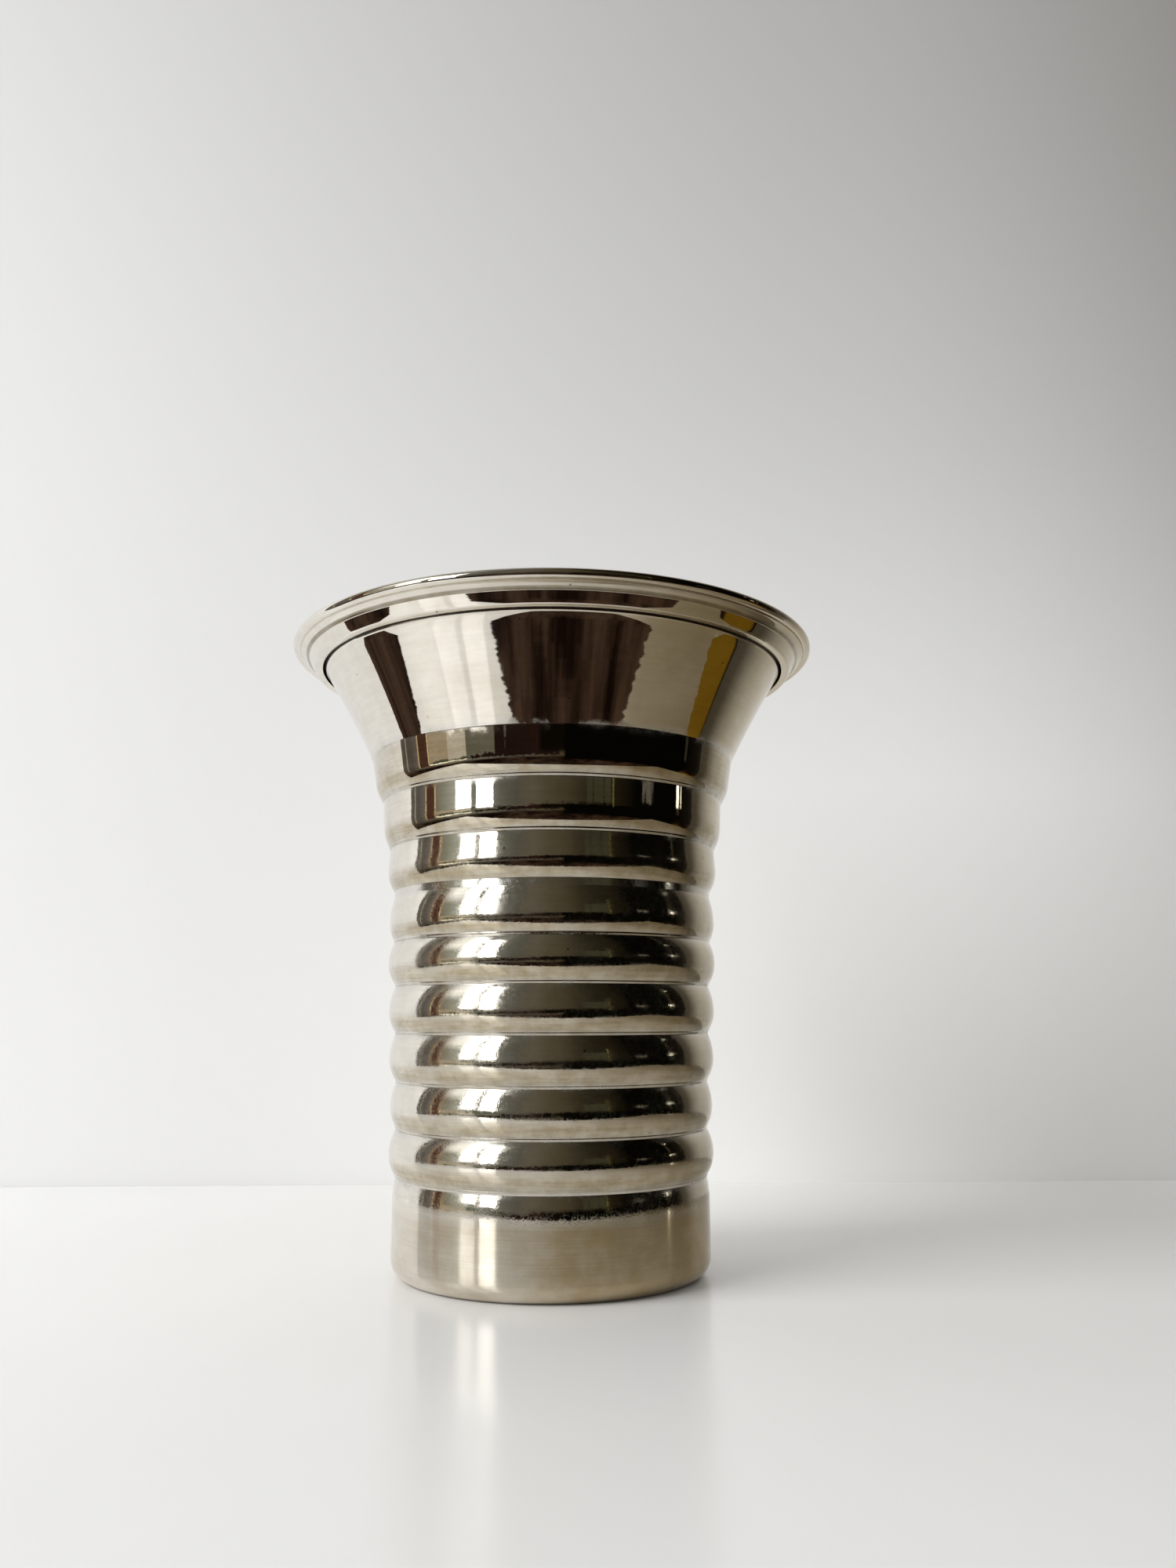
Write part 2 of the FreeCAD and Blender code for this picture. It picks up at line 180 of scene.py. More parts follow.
body = {
    "wall": 1.0 * mm,
    "footRadius": 56.0 * mm,
    "footHeight": 33.25 * mm,
    "footCorner": 6.0 * mm,
    "shoulderHeight": 8.0 * mm,
    "shoulderDepth": 1.0 * mm,
    "baseFlange": 9.0 * mm,
    "ribbedHeight": 148.5 * mm,
    "grooveGrowth": 12.3 * mm,
    "crestRise": 2.6 * mm,
    "wideGroove": 2.5 * mm,
    "flareHeight": 42.5 * mm,
    "flareBulge": 420.0 * mm,
    "mouthRadius": 91.1 * mm,
    "ridgeDrop": 9.25 * mm,
    "ridgeWidth": 1.0 * mm,
    "ridgeRise": 0.11 * mm,
    "ridgeSteps": 10,
    # the painted shadow under the rim moulding reaches down to here
    "shadowDrop": 9.56 * mm,
    "mouthBend": 1.6 * mm,
    "mouthFlange": 2.9 * mm,
    "roundRibs": 6,
    "grooveSoftness": 0.14 * mm,
    "beadBelow": 0.50 * mm,
    "beadAbove": 0.80 * mm,
    "beadCrown": 0.70,
    "beadRise": 0.09 * mm,
    "creaseReach": 2.6 * mm,
    "ribSpin": 0.15,
    "wornFoot": 0.16,
    "wornFlare": 0.08,
    "wornFade": 1.6,
    "underSlope": 0.25,
    "stepsRound": 166,
    "grooveHeightShares": (0, 0.109, 0.218, 0.331, 0.442, 0.547, 0.661, 0.775, 0.893, 1),
    "grooveGrowthShares": (0, 0.016, 0.049, 0.098, 0.130, 0.195, 0.236, 0.398, 0.642, 1),
    "crestHeightShares": (0.48, 0.475, 0.455, 0.45, 0.515, 0.43, 0.52, 0.45, 0.38),
    "crestRiseShares": (1.04, 0.885, 1.04, 1.0, 1.1, 0.77, 0.96, 1.0, 1.115),
}
rim = {
    "wall": 0.8 * mm,
    "overhang": 6.4 * mm,
    "wireRadius": 0.85 * mm,
    "wireClearance": 0.05 * mm,
    "seatStep": 1.0 * mm,
    "rollTuck": math.radians(40),
    "coveDrop": 3.3 * mm,
    "skirtLean": math.radians(31),
    "skirtTopDrop": 5.5 * mm,
    "skirtStep": 0.3 * mm,
    "edgeDrop": 9.5 * mm,
    "edgeRadius": 1.0 * mm,
    "edgeInset": 8.75 * mm,
    "returnWidth": 2.1 * mm,
    "softness": 0.12 * mm,
    "spin": 0.3,
    "worn": 0.10,
    # painted shade and painted shadow in the lower half of the cove
    "coveShade": 0.9,
    "coveShadow": 0.42,
    "rollSpin": 0.05,
    "stepsRound": 640,
}
rimTop = body["footHeight"] + body["ribbedHeight"] + body["flareHeight"]
bandTop = body["footHeight"] - body["shoulderHeight"]
up = Vector((0, 1))


def grooveCorners():
    firstRadius = body["footRadius"] - body["shoulderDepth"]
    radii = [firstRadius + body["grooveGrowth"] * share for share in body["grooveGrowthShares"]]
    heights = [body["footHeight"] + body["ribbedHeight"] * share for share in body["grooveHeightShares"]]
    return [Vector(corner) for corner in zip(radii, heights)]


def beaded(runs, grooves):  # a narrow bead rolled along the bottom of each groove
    made = [runs[0]]
    samePlace = body["wall"] / 100
    for run in runs[1:]:
        if min((run[0] - groove).length for groove in grooves) > samePlace:
            made.append(run)
            continue
        made[-1] = shortened(made[-1], body["beadBelow"])
        run = shortened(run[::-1], body["beadAbove"])[::-1]
        start, along = made[-1][-1], run[0] - made[-1][-1]
        outward = Vector((along.y, -along.x)).normalized()
        crown = start + along * body["beadCrown"] + outward * body["beadRise"]
        made += [lineBetween(start, crown, 2), lineBetween(crown, run[0], 2), run]
    return made


def bodyRuns(steps):  # the outer face, from the inner edge of the base flange to the edge of the mouth flange
    corner = Vector((body["footRadius"] - body["footCorner"], body["footCorner"]))
    flangeEnd = Vector((corner.x, 0))
    bandStart = Vector((body["footRadius"], corner.y))
    bandEnd = Vector((body["footRadius"], bandTop))
    grooves = grooveCorners()
    runs = [
        lineBetween(flangeEnd - Vector((body["baseFlange"], 0)), flangeEnd, 3),
        arcBetween(corner, flangeEnd, bandStart, steps + 2),
        lineBetween(bandStart, bandEnd, 6),
        arcBetween(tangentCentre(grooves[0], bandEnd, up), bandEnd, grooves[0], steps),
    ]
    lows, highs = grooves[:-1], grooves[1:]
    halfWide = Vector((0, body["wideGroove"] / 2))
    highs[body["roundRibs"] - 1] = grooves[body["roundRibs"]] - halfWide
    lows[body["roundRibs"]] = grooves[body["roundRibs"]] + halfWide
    for rib, (low, high) in enumerate(zip(lows, highs)):
        if rib == body["roundRibs"]:
            runs.append(lineBetween(highs[rib - 1], low, 3))
        crest = Vector((
            low.x + body["crestRise"] * body["crestRiseShares"][rib],
            low.y + (high.y - low.y) * body["crestHeightShares"][rib],
        ))
        isRound = rib < body["roundRibs"]
        lean = up if isRound else high - crest
        runs.append(arcBetween(tangentCentre(low, crest, lean), low, crest, steps))
        if isRound:
            runs.append(arcBetween(tangentCentre(high, crest, up), crest, high, steps))
        else:
            runs.append(lineBetween(crest, high, steps - 1))
    bendEnd = Vector((body["mouthRadius"], rimTop - rim["wall"] - body["wall"]))
    bendCentre = bendEnd - up * body["mouthBend"]
    footToBend = grooves[-1] - bendCentre
    nearRadius, farRadius = body["flareBulge"] - body["mouthBend"], body["flareBulge"]
    along = (nearRadius**2 - farRadius**2 + footToBend.length_squared) / (2 * footToBend.length)
    aside = math.sqrt(nearRadius**2 - along**2)
    direction = footToBend.normalized()
    across = Vector((direction.y, -direction.x))
    centres = [bendCentre + direction * along + across * side for side in (aside, -aside)]
    flareCentre = max(centres, key=lambda centre: centre.x)
    flareTop = bendCentre + (bendCentre - flareCentre).normalized() * body["mouthBend"]

    def onFlare(height, lift=0.0):
        x = flareCentre.x - math.sqrt(body["flareBulge"] ** 2 - (height - flareCentre.y) ** 2)
        point = Vector((x, height))
        return point + (flareCentre - point).normalized() * lift

    ridgeFoot, ridgeTop = rimTop - body["ridgeDrop"] - body["ridgeWidth"], rimTop - body["ridgeDrop"]
    ridge = []
    for i in range(1, body["ridgeSteps"]):
        share = i / body["ridgeSteps"]
        lift = body["ridgeRise"] * math.sin(math.pi * share) ** 2
        ridge.append(onFlare(ridgeFoot + body["ridgeWidth"] * share, lift))
    below = arcBetween(flareCentre, grooves[-1], onFlare(ridgeFoot), 2 * steps)
    runs.append(below + ridge + arcBetween(flareCentre, onFlare(ridgeTop), flareTop, 3))
    runs.append(arcBetween(bendCentre, flareTop, bendEnd, steps))
    runs.append(lineBetween(bendEnd, bendEnd + Vector((body["mouthFlange"], 0)), 2))
    return beaded(runs, [groove for i, groove in enumerate(grooves[:-1]) if i != body["roundRibs"]])


def rimRuns(steps):  # the outer face, from the inner edge of the flat top to the turned-under lower edge
    roll = rim["wireRadius"] + rim["wireClearance"] + rim["wall"]
    rimRadius = body["mouthRadius"] + rim["overhang"]
    seatEdge = Vector((body["mouthRadius"] + rim["seatStep"], rimTop))
    rollTop = Vector((rimRadius - roll, rimTop))
    rollCentre = rollTop - up * roll
    rollSide = rollCentre + Vector((roll, 0))
    outAndDown = Vector((math.cos(rim["skirtLean"]), -math.sin(rim["skirtLean"])))
    alongSkirt = Vector((math.sin(rim["skirtLean"]), math.cos(rim["skirtLean"])))
    edgeCentre = Vector((rimRadius - rim["edgeInset"], rimTop - rim["edgeDrop"] + rim["edgeRadius"]))
    skirtFoot = edgeCentre + outAndDown * rim["edgeRadius"]
    skirtTop = skirtFoot + alongSkirt * ((rimTop - rim["skirtTopDrop"] - skirtFoot.y) / alongSkirt.y)
    coveEnd = skirtTop + Vector((rim["skirtStep"], 0))
    coveRadius = (rimTop - rim["coveDrop"] - coveEnd.y) / (1 + outAndDown.y)
    coveCentre = coveEnd + outAndDown * coveRadius
    rollEnd = rollCentre - Vector((math.sin(rim["rollTuck"]), math.cos(rim["rollTuck"]))) * roll
    aside = rollEnd.x - coveCentre.x
    coveStart = Vector((rollEnd.x, coveCentre.y + math.sqrt(coveRadius**2 - aside**2)))
    lowest = edgeCentre - up * rim["edgeRadius"]
    rollFace = arcBetween(rollCentre, rollTop, rollSide, steps)
    rollFace += arcBetween(rollCentre, rollSide, rollEnd, steps + 3)[1:]
    return [
        lineBetween(seatEdge, rollTop, 3),
        rollFace,
        lineBetween(rollEnd, coveStart, 2),
        arcBetween(coveCentre, coveStart, coveEnd, steps),
        lineBetween(coveEnd, skirtTop, 2),
        lineBetween(skirtTop, skirtFoot, 3),
        arcBetween(edgeCentre, skirtFoot, lowest, steps),
        lineBetween(lowest, lowest - Vector((rim["returnWidth"], 0)), 3),
    ]


pointValues = ("crease", "satin", "spin", "worn", "under", "paintedShadow", "inside")  # what an outline's points carry
weldDistance = 0.002 * mm


def lathe():  # turns an outline about the upright axis, a little out of true as hand work is
    tree = bpy.data.node_groups.new("lathe", "GeometryNodeTree")
    sockets = (
        ("Outline", "NodeSocketGeometry"),
        ("Steps round", "NodeSocketInt"),
        ("Wander", "NodeSocketFloat"),
        ("Wander per metre", "NodeSocketFloat"),
        ("Outside finish", "NodeSocketMaterial"),
        ("Inside finish", "NodeSocketMaterial"),
    )
    for name, kind in sockets:
        tree.interface.new_socket(name, in_out="INPUT", socket_type=kind)
    tree.interface.new_socket("Piece", in_out="OUTPUT", socket_type="NodeSocketGeometry")
    given = addNode(tree, "NodeGroupInput").outputs
    counted = addNode(tree, "GeometryNodeAttributeDomainSize", {"Geometry": given["Outline"]})
    rows = counted.outputs["Point Count"]
    grid = addNode(tree, "GeometryNodeMeshGrid", {
        "Size X": 1.0,
        "Size Y": 1.0,
        "Vertices X": mathNode(tree, "ADD", given["Steps round"], 1.0),
        "Vertices Y": mathNode(tree, "ADD", rows, 1.0),
    })
    place = addNode(tree, "GeometryNodeInputPosition").outputs[0]
    flat = separated(tree, place)
    shareRound = mathNode(tree, "ADD", flat["X"], 0.5)
    turn = product(tree, shareRound, 2 * math.pi)
    turn = mathNode(tree, "ADD", turn, math.pi / 2)  # puts the seam at the back
    row = mathNode(tree, "ROUND", product(tree, mathNode(tree, "ADD", flat["Y"], 0.5), rows))
    row = mathNode(tree, "FLOORED_MODULO", row, rows)

    def outlineValue(kind, value):
        return addNode(
            tree, "GeometryNodeSampleIndex", {"Geometry": given["Outline"], "Value": value, "Index": row},
            data_type=kind, domain="POINT",
        ).outputs[0]

    def storedValue(name):
        value = addNode(tree, "GeometryNodeInputNamedAttribute", {"Name": name}, data_type="FLOAT").outputs[0]
        return outlineValue("FLOAT", value)

    profile = separated(tree, outlineValue("FLOAT_VECTOR", place))
    cosine, sine = mathNode(tree, "COSINE", turn), mathNode(tree, "SINE", turn)

    def roundAxis(radius):
        return combined(tree, product(tree, cosine, radius), product(tree, sine, radius), profile["Z"])

    unevenness = noiseNode(tree, roundAxis(profile["X"]), given["Wander per metre"], detail=1.0)
    wander = product(tree, mathNode(tree, "SUBTRACT", unevenness, 0.5), given["Wander"])
    turned = roundAxis(mathNode(tree, "ADD", profile["X"], wander))
    geometry = grid.outputs["Mesh"]

    def shaped(kind, inputs=None, **settings):  # the geometry after one more node
        return addNode(tree, kind, {"Geometry": geometry, **(inputs or {})}, **settings).outputs[0]

    for name in pointValues:
        stored = {"Name": name, "Value": storedValue(name)}
        geometry = shaped("GeometryNodeStoreNamedAttribute", stored, data_type="FLOAT", domain="POINT")
    around = product(tree, shareRound, 2 * math.pi * body["footRadius"])
    flatPlace = {"Name": "unrolled", "Value": combined(tree, around, storedValue("along"), 0.0)}
    geometry = shaped("GeometryNodeStoreNamedAttribute", flatPlace, data_type="FLOAT2", domain="CORNER")
    geometry = shaped("GeometryNodeSetPosition", {"Position": turned})
    geometry = shaped("GeometryNodeMergeByDistance", {"Distance": weldDistance})
    geometry = shaped("GeometryNodeSetShadeSmooth")
    geometry = shaped("GeometryNodeRealizeInstances")
    geometry = shaped("GeometryNodeSetMaterial", {"Material": given["Outside finish"]})
    inside = addNode(tree, "GeometryNodeInputNamedAttribute", {"Name": "inside"}, data_type="FLOAT")
    isInside = mathNode(tree, "GREATER_THAN", inside.outputs[0], 0.5)
    insideOnly = {"Selection": isInside, "Material": given["Inside finish"]}
    geometry = shaped("GeometryNodeSetMaterial", insideOnly)
    addNode(tree, "NodeGroupOutput", {"Piece": geometry})
    return tree


latheTree = lathe()


def turnPiece(name, outline, values, inputs):  # values: a list of each kind, one number for each point
    mesh = bpy.data.meshes.new(name + "Outline")
    count = len(outline)
    mesh.from_pydata([(p.x, 0, p.y) for p in outline], [(i, (i + 1) % count) for i in range(count)], [])
    along = [0.0]
    for before, after in zip(outline, outline[1:]):
        along.append(along[-1] + (after - before).length)
    for key, numbers in {**values, "along": along}.items():
        mesh.attributes.new(key, "FLOAT", "POINT").data.foreach_set("value", numbers)
    piece = bpy.data.objects.new(name, mesh)
    scene.collection.objects.link(piece)
    modifier = piece.modifiers.new("turning", "NODES")
    modifier.node_group = latheTree
    for socket in latheTree.interface.items_tree:
        if socket.in_out == "INPUT" and socket.name in inputs:
            modifier[socket.identifier] = inputs[socket.name]
    turned = bpy.data.meshes.new_from_object(piece.evaluated_get(bpy.context.evaluated_depsgraph_get()))
    turned.name = name
    piece.modifiers.clear()
    piece.data = turned
    bpy.data.meshes.remove(mesh)
    print(name, "turned:", len(turned.vertices), "points")
    return piece


# Finishes: each effect is a group, which the metals place with values of their own


def newGroup(name, inputs, outputs):  # inputs and outputs by name, with an input's value or an output's kind
    tree = bpy.data.node_groups.new(name, "ShaderNodeTree")
    for socketName, value in inputs.items():
        kind = "NodeSocketColor" if isinstance(value, tuple) else "NodeSocketFloat"
        socket = tree.interface.new_socket(socketName, in_out="INPUT", socket_type=kind)
        socket.default_value = value
    for socketName, kind in outputs.items():
        tree.interface.new_socket(socketName, in_out="OUTPUT", socket_type="NodeSocket" + kind)
    return tree, addNode(tree, "NodeGroupInput").outputs


def objectPlace(tree):
    return addNode(tree, "ShaderNodeTexCoord").outputs["Object"]


def drawnRound(tree, drift, lines):  # the place, squeezed upright, so that a noise on it runs round the vase
    return vectorNode(tree, "MULTIPLY", objectPlace(tree), combined(tree, drift, drift, lines))


def spunRingsGroup():  # rings left by spinning and polishing on the lathe
    inputs = {"Rings per metre": 330.0, "Drift per metre": 26.0}
    tree, given = newGroup("spunRings", inputs, {"Height": "Float"})
    vector = drawnRound(tree, given["Drift per metre"], given["Rings per metre"])
    height = noiseNode(tree, vector, 1.0, detail=1.0, roughness=0.35)
    addNode(tree, "NodeGroupOutput", {"Height": height})
    return tree


def hazeGroup():  # the grain of countless fine scratches, thicker in patches
    inputs = {"Grains per metre": 1750.0, "Patches per metre": 70.0, "Cover": 0.5}
    tree, given = newGroup("haze", inputs, {"Mask": "Float"})
    coarseness, coarseShare, patchShare, bareLevel = 0.33, 0.6, 0.9, 1.05
    start, full = 0.45, 0.75
    place = objectPlace(tree)
    grain = noiseNode(tree, place, given["Grains per metre"], detail=1.0, roughness=0.6)
    coarseGrains = product(tree, given["Grains per metre"], coarseness)
    coarse = noiseNode(tree, place, coarseGrains, detail=2.0)
    patch = noiseNode(tree, place, given["Patches per metre"], detail=4.0, roughness=0.6)
    level = mathNode(tree, "SUBTRACT", given["Cover"], bareLevel)
    level = mathNode(tree, "MULTIPLY_ADD", patch, patchShare, level)
    grains = mathNode(tree, "ADD", grain, product(tree, coarse, coarseShare))
    mask = rangeNode(tree, mathNode(tree, "ADD", grains, level), start, full, smooth=False)
    addNode(tree, "NodeGroupOutput", {"Mask": mask})
    return tree


def streaksGroup():  # faint cloth marks that run round the vase
    inputs = {"Lines per metre": 900.0, "Drift per metre": 55.0}
    tree, given = newGroup("streaks", inputs, {"Value": "Float"})
    blotsPerMetre, start, full = 160.0, 0.36, 0.64
    vector = drawnRound(tree, given["Drift per metre"], given["Lines per metre"])
    streak = noiseNode(tree, vector, 1.0, detail=4.0, roughness=0.6)
    blot = noiseNode(tree, objectPlace(tree), blotsPerMetre, detail=5.0, roughness=0.65)
    total = product(tree, mathNode(tree, "ADD", streak, blot), 0.5)
    addNode(tree, "NodeGroupOutput", {"Value": rangeNode(tree, total, start, full)})
    return tree


def hairlinesGroup():  # single scratches in a few directions, on the unrolled surface
    tree, given = newGroup("hairlines", {"Per metre": 420.0, "Thinness": 34.0}, {"Mask": "Float"})
    directions = ((0.15, 1.0), (1.1, 1.3), (2.3, 0.8), (2.95, 1.1))  # angle, and how close the lines lie
    lengthwise, start, full = 0.12, 0.66, 0.74
    flat = addNode(tree, "ShaderNodeAttribute", attribute_name="unrolled").outputs["Vector"]
    thinness = product(tree, given["Thinness"], lengthwise)
    total = None
    for angle, stretch in directions:
        turned = addNode(
            tree, "ShaderNodeVectorRotate", {"Vector": flat, "Angle": angle}, rotation_type="Z_AXIS"
        ).outputs[0]
        lengths = product(tree, given["Per metre"], lengthwise * stretch)
        size = combined(tree, lengths, product(tree, given["Per metre"], thinness), 1.0)
        streak = noiseNode(tree, vectorNode(tree, "MULTIPLY", turned, size), 1.0, detail=2.0)
        line = rangeNode(tree, streak, start, full)
        total = line if total is None else mathNode(tree, "MAXIMUM", total, line)
    addNode(tree, "NodeGroupOutput", {"Mask": total})
    return tree


def tarnishAndShadeGroup():  # warm tarnish in clouds, over painted shade: the vase darkens and warms from one side to the other
    inputs = {
        "Bright": (0.80, 0.76, 0.69, 1),
        "Warm": (0.54, 0.47, 0.35, 1),
        "Clouds per metre": 45.0,
        "Cloudiness": 0.5,
    }
    tree, given = newGroup("tarnishAndShade", inputs, {"Color": "Color", "Mask": "Float"})
    paintedLitSide, paintedShadeSide, cloudGain = -0.055, 0.08, 2.4
    place = objectPlace(tree)
    # painted shade: the Warm colour thickens across X, towards the side away from the light
    side = rangeNode(tree, separated(tree, place)["X"], paintedLitSide, paintedShadeSide)
    cloud = noiseNode(tree, place, given["Clouds per metre"], detail=6.0, roughness=0.62)
    cloud = product(tree, mathNode(tree, "SUBTRACT", cloud, 0.5), given["Cloudiness"])
    mask = mathNode(tree, "ADD", side, product(tree, cloud, cloudGain), clamp=True)
    colour = mixColour(tree, mask, given["Bright"], given["Warm"])
    addNode(tree, "NodeGroupOutput", {"Color": colour, "Mask": mask})
    return tree


def pitsGroup():  # a few tiny dark pits
    tree, given = newGroup("pits", {"Per metre": 190.0, "Size": 0.13, "Rarity": 0.94}, {"Mask": "Float"})
    cells = addNode(tree, "ShaderNodeTexVoronoi", {"Vector": objectPlace(tree), "Scale": given["Per metre"]})
    lot = addNode(tree, "ShaderNodeSeparateColor", {0: cells.outputs["Color"]}).outputs[0]
    chosen = mathNode(tree, "GREATER_THAN", lot, given["Rarity"])
    near = rangeNode(tree, cells.outputs["Distance"], given["Size"], 0.0)
    addNode(tree, "NodeGroupOutput", {"Mask": product(tree, chosen, near)})
    return tree


def tideMarksGroup():  # pale rings where water has stood, the upper one strongest
    tree, given = newGroup("tideMarks", {"Height": 0.150, "Spacing": 0.019}, {"Mask": "Float"})
    sway, swaysPerMetre = 12 * mm, 30.0
    ringWidth, ringStrengths = 1.6 * mm, (1.0, 0.55, 0.35)
    blotsPerMetre, start, full = 120.0, 0.38, 0.62
    place = objectPlace(tree)
    wave = mathNode(tree, "SUBTRACT", noiseNode(tree, place, swaysPerMetre, detail=4.0), 0.5)
    level = mathNode(tree, "ADD", separated(tree, place)["Z"], product(tree, wave, sway))
    blot = noiseNode(tree, place, blotsPerMetre, detail=5.0, roughness=0.7)
    blot = rangeNode(tree, blot, start, full)
    total = 0.0
    for ring, strength in enumerate(ringStrengths):
        drop = product(tree, given["Spacing"], float(ring))
        height = mathNode(tree, "SUBTRACT", given["Height"], drop)
        away = mathNode(tree, "ABSOLUTE", mathNode(tree, "SUBTRACT", level, height))
        line = product(tree, rangeNode(tree, away, ringWidth, 0.0), strength)
        total = mathNode(tree, "ADD", total, line)
    addNode(tree, "NodeGroupOutput", {"Mask": mathNode(tree, "MULTIPLY", total, blot, clamp=True)})
    return tree


spunRings, haze, streaks = spunRingsGroup(), hazeGroup(), streaksGroup()
tideMarks = tideMarksGroup()
hairlines, tarnishAndShade, pits = hairlinesGroup(), tarnishAndShadeGroup(), pitsGroup()
print("shared effects made")


def newMaterial(name):
    material = bpy.data.materials.new(name)
    material.use_nodes = True
    tree = material.node_tree
    return material, tree, tree.nodes["Principled BSDF"]


def useGroup(tree, group, values=None):
    return addNode(tree, "ShaderNodeGroup", values, node_tree=group).outputs


def pieceValue(tree, name):
    return addNode(tree, "ShaderNodeAttribute", attribute_name=name).outputs["Fac"]


def bareMetal(tree, shader, colour, rough, height, depth):  # the surface that every finish here ends in
    shader.inputs["Metallic"].default_value = 1.0
    tree.links.new(colour, shader.inputs["Base Color"])
    tree.links.new(rough, shader.inputs["Roughness"])
    bump = addNode(tree, "ShaderNodeBump", {"Height": height, "Strength": 1.0, "Distance": depth})
    tree.links.new(bump.outputs[0], shader.inputs["Normal"])


nickel = {
    # tarnish, and the painted shade that darkens one side
    "tarnishAndShade": {"Bright": (0.82, 0.78, 0.71, 1), "Warm": (0.48, 0.405, 0.28, 1), "Cloudiness": 0.30},
    "mirrorRoughness": 0.020,
    "hazeRoughness": 0.16,
    "hazeCover": 0.40,
    "hazeDepth": 0.30,
    "hairStrength": 0.5,
    "clothStrength": 0.25,  # darkening by cloth marks, and painted shade that the undersides get more
    "clothUnderStrength": 0.5,
    "clothMark": (0.66, 0.63, 0.56, 1),
    "satinRoughness": 0.11,
    "satinRings": {"Rings per metre": 2600.0, "Drift per metre": 5.0},
    "satinDepth": 0.4,
    "bandWarm": (0.43, 0.325, 0.175, 1),
    "bandCover": 0.50,  # warmth of the whole foot band, and what its clouds add
    "bandCloudCover": 0.45,
    "bandCloudsPerMetre": 42.0,
    "bandCloudEdges": (0.36, 0.66),
    # the foot band's warmth follows the painted side shade as well
    "bandBrightSide": 0.30,
    "bandSideGain": 1.3,
    # painted shade on the faces that look down, darker and warmer, in streaks
    "underWarm": (0.45, 0.36, 0.21, 1),
    "underPale": (0.54, 0.48, 0.375, 1),
    "underLines": {"Lines per metre": 420.0, "Drift per metre": 22.0},
    "underCover": 0.70,
    "residue": (0.66, 0.65, 0.63, 1),
    "residueRoughness": 0.42,
    "residueCover": 0.6,
    "residuePerMetre": 90.0,
    "residueEdges": (0.42, 0.70),
    "grooveGrey": 0.45,
    # dark pits, and painted shadow under the rim moulding
    "dirtAndShadow": (0.05, 0.04, 0.03, 1),
    "reliefDepth": 0.014 * mm,
}


def nickelFinish():
    material, tree, shader = newMaterial("nickelPlate")
    clouds = useGroup(tree, tarnishAndShade, nickel["tarnishAndShade"])
    rings = useGroup(tree, spunRings)
    bandLines = useGroup(tree, spunRings, nickel["satinRings"])
    grain = useGroup(tree, haze, {"Cover": nickel["hazeCover"]})
    cloth = useGroup(tree, streaks)
    hairs = useGroup(tree, hairlines)
    marks = useGroup(tree, pits)
    crease, satin, spin = (pieceValue(tree, name) for name in ("crease", "satin", "spin"))
    worn, under, paintedShadow = (pieceValue(tree, name) for name in ("worn", "under", "paintedShadow"))
    place = objectPlace(tree)
    patch = noiseNode(tree, place, nickel["residuePerMetre"], detail=5.0, roughness=0.7)
    residue = product(tree, crease, rangeNode(tree, patch, *nickel["residueEdges"]))
    bandCloud = noiseNode(tree, place, nickel["bandCloudsPerMetre"], detail=7.0, roughness=0.7)
    bandCloud = rangeNode(tree, bandCloud, *nickel["bandCloudEdges"])
    bandShare = mathNode(tree, "MULTIPLY_ADD", bandCloud, nickel["bandCloudCover"], nickel["bandCover"])
    bandShare = product(tree, satin, bandShare)
    # painted shade: the band grows warmer towards the shaded side
    sideGain, sideStart = nickel["bandSideGain"], nickel["bandBrightSide"]
    sideShare = mathNode(tree, "MULTIPLY_ADD", clouds["Mask"], sideGain, sideStart, clamp=True)
    bandShare = product(tree, bandShare, sideShare)
    colour = mixColour(tree, bandShare, clouds["Color"], nickel["bandWarm"])
    # painted shade: the faces that look down go darker and warmer
    amber = useGroup(tree, streaks, nickel["underLines"])
    shadedUnderside = mixColour(tree, amber["Value"], nickel["underPale"], nickel["underWarm"])
    colour = mixColour(tree, product(tree, under, nickel["underCover"]), colour, shadedUnderside)
    for mask, cover in ((crease, nickel["grooveGrey"]), (residue, nickel["residueCover"])):
        colour = mixColour(tree, product(tree, mask, cover), colour, nickel["residue"])
    shade = mathNode(tree, "MULTIPLY_ADD", under, nickel["clothUnderStrength"], nickel["clothStrength"])
    shade = mixColour(tree, shade, (1, 1, 1, 1), nickel["clothMark"])
    colour = mixColour(tree, cloth["Value"], colour, shade, blend="MULTIPLY")
    # dark pits, and painted shadow under the rim moulding and in its cove
    colour = mixColour(tree, mathNode(tree, "MAXIMUM", marks["Mask"], paintedShadow), colour, nickel["dirtAndShadow"])
    scratched = product(tree, hairs["Mask"], nickel["hairStrength"])
    scratched = mathNode(tree, "MAXIMUM", grain["Mask"], scratched)
    scratched = product(tree, scratched, worn)
    rough = mixValue(tree, satin, nickel["mirrorRoughness"], nickel["satinRoughness"])
    rough = mixValue(tree, scratched, rough, nickel["hazeRoughness"])
    rough = mixValue(tree, mathNode(tree, "MAXIMUM", residue, paintedShadow), rough, nickel["residueRoughness"])
    lines = product(tree, bandLines["Height"], satin)
    lines = product(tree, lines, nickel["satinDepth"])
    height = mathNode(tree, "ADD", product(tree, rings["Height"], spin), lines)
    grains = product(tree, grain["Mask"], worn)
    height = mathNode(tree, "MULTIPLY_ADD", grains, nickel["hazeDepth"], height)
    bareMetal(tree, shader, colour, rough, height, nickel["reliefDepth"])
    return material


